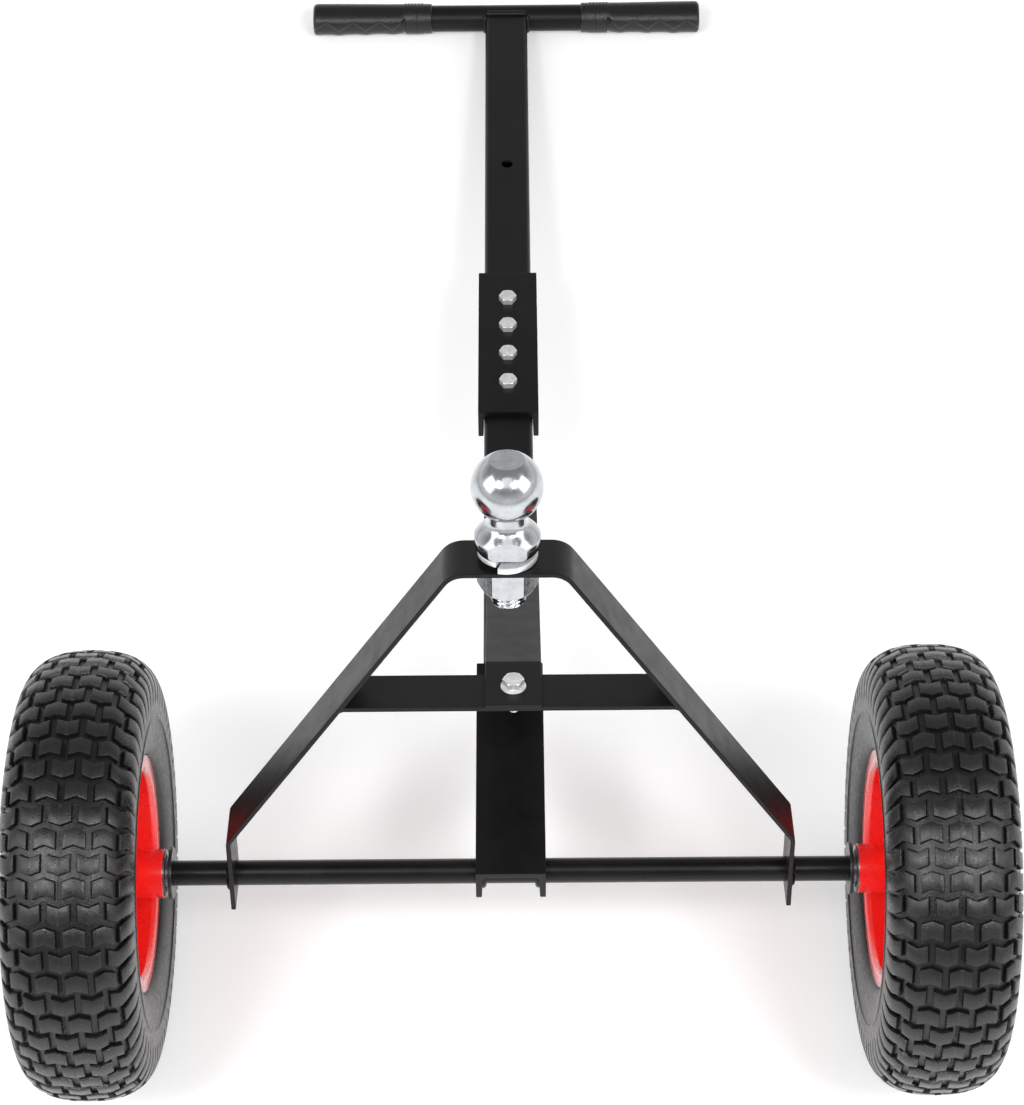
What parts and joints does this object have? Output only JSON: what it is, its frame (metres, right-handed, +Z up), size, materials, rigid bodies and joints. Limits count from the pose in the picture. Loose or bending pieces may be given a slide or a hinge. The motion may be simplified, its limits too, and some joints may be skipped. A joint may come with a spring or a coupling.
{
  "type": "hand trailer dolly",
  "caption": "Hand trailer dolly: pneumatic wheels on one axle, a bent-bar yoke with a tow ball, and a long spliced T-handle with a brace.",
  "frame": {"origin": "middle of the object's box on the floor that both wheels and both grips stand on", "axes": "+X right along the axle, +Y from the wheels to the handle, +Z up; the ball's axis leans 17.5 degrees from +Z towards +Y when parked"},
  "size_m": [0.687, 1.1944, 0.5055],
  "materials": {
    "frame_black": "semi-gloss black powder coat on steel",
    "grip_vinyl": "soft black vinyl grip, satin",
    "ball_zinc": "bright plated turned steel",
    "fastener_zinc": "clear zinc plated steel",
    "bearing_steel": "ground bearing steel",
    "rim_red": "gloss red powder coat on pressed steel",
    "tyre_rubber": "moulded black rubber with block tread",
    "tube_rubber": "smooth butyl rubber",
    "cage_brass": "plain brass",
    "shield_dark": "dark pressed steel shield",
    "cap_black": "black moulded plastic cap"
  },
  "bodies": {
    "root": {"axle": "frame_black", "axle_collars": "fastener_zinc", "lower_channel": "frame_black", "lower_handle_tube": "frame_black", "splice_channel": "frame_black", "upper_handle_tube": "frame_black", "handlebar": "frame_black", "grip_left": "grip_vinyl", "grip_right": "grip_vinyl", "ball_yoke": "frame_black", "cross_bar": "frame_black", "brace_strap": "frame_black", "tow_ball": "ball_zinc", "ball_lock_washer": "ball_zinc", "ball_nut": "ball_zinc", "brace_front_bolt": "fastener_zinc", "brace_front_nut": "fastener_zinc", "brace_rear_bolt": "fastener_zinc", "brace_rear_nut": "fastener_zinc", "splice_bolts": "fastener_zinc", "splice_nuts": "fastener_zinc", "axle_end_washers": "fastener_zinc", "cotter_pins": "fastener_zinc", "bearing_inner_races": "bearing_steel", "hub_spacers": "bearing_steel"},
    "left_wheel": {"left_tyre": "tyre_rubber", "left_inner_tube": "tube_rubber", "left_rim_inner": "rim_red", "left_rim_outer": "rim_red", "left_hub": "rim_red", "left_rim_bolts": "fastener_zinc", "left_rim_nuts": "fastener_zinc", "left_outer_races": "bearing_steel", "left_race_balls": "bearing_steel", "left_ball_cages": "cage_brass", "left_bearing_shields": "shield_dark", "left_valve_stem": "cage_brass", "left_valve_cap": "cap_black"},
    "right_wheel": {"right_tyre": "tyre_rubber", "right_inner_tube": "tube_rubber", "right_rim_inner": "rim_red", "right_rim_outer": "rim_red", "right_hub": "rim_red", "right_rim_bolts": "fastener_zinc", "right_rim_nuts": "fastener_zinc", "right_outer_races": "bearing_steel", "right_race_balls": "bearing_steel", "right_ball_cages": "cage_brass", "right_bearing_shields": "shield_dark", "right_valve_stem": "cage_brass", "right_valve_cap": "cap_black"}
  },
  "joints": [
    {"name": "left_wheel_spin", "type": "hinge", "parent": "root", "child": "left_wheel", "pos_m": [-0.2985, -0.43723, 0.16], "axis": [1, 0, 0], "continuous": true},
    {"name": "right_wheel_spin", "type": "hinge", "parent": "root", "child": "right_wheel", "pos_m": [0.2985, -0.43723, 0.16], "axis": [1, 0, 0], "continuous": true}
  ]
}
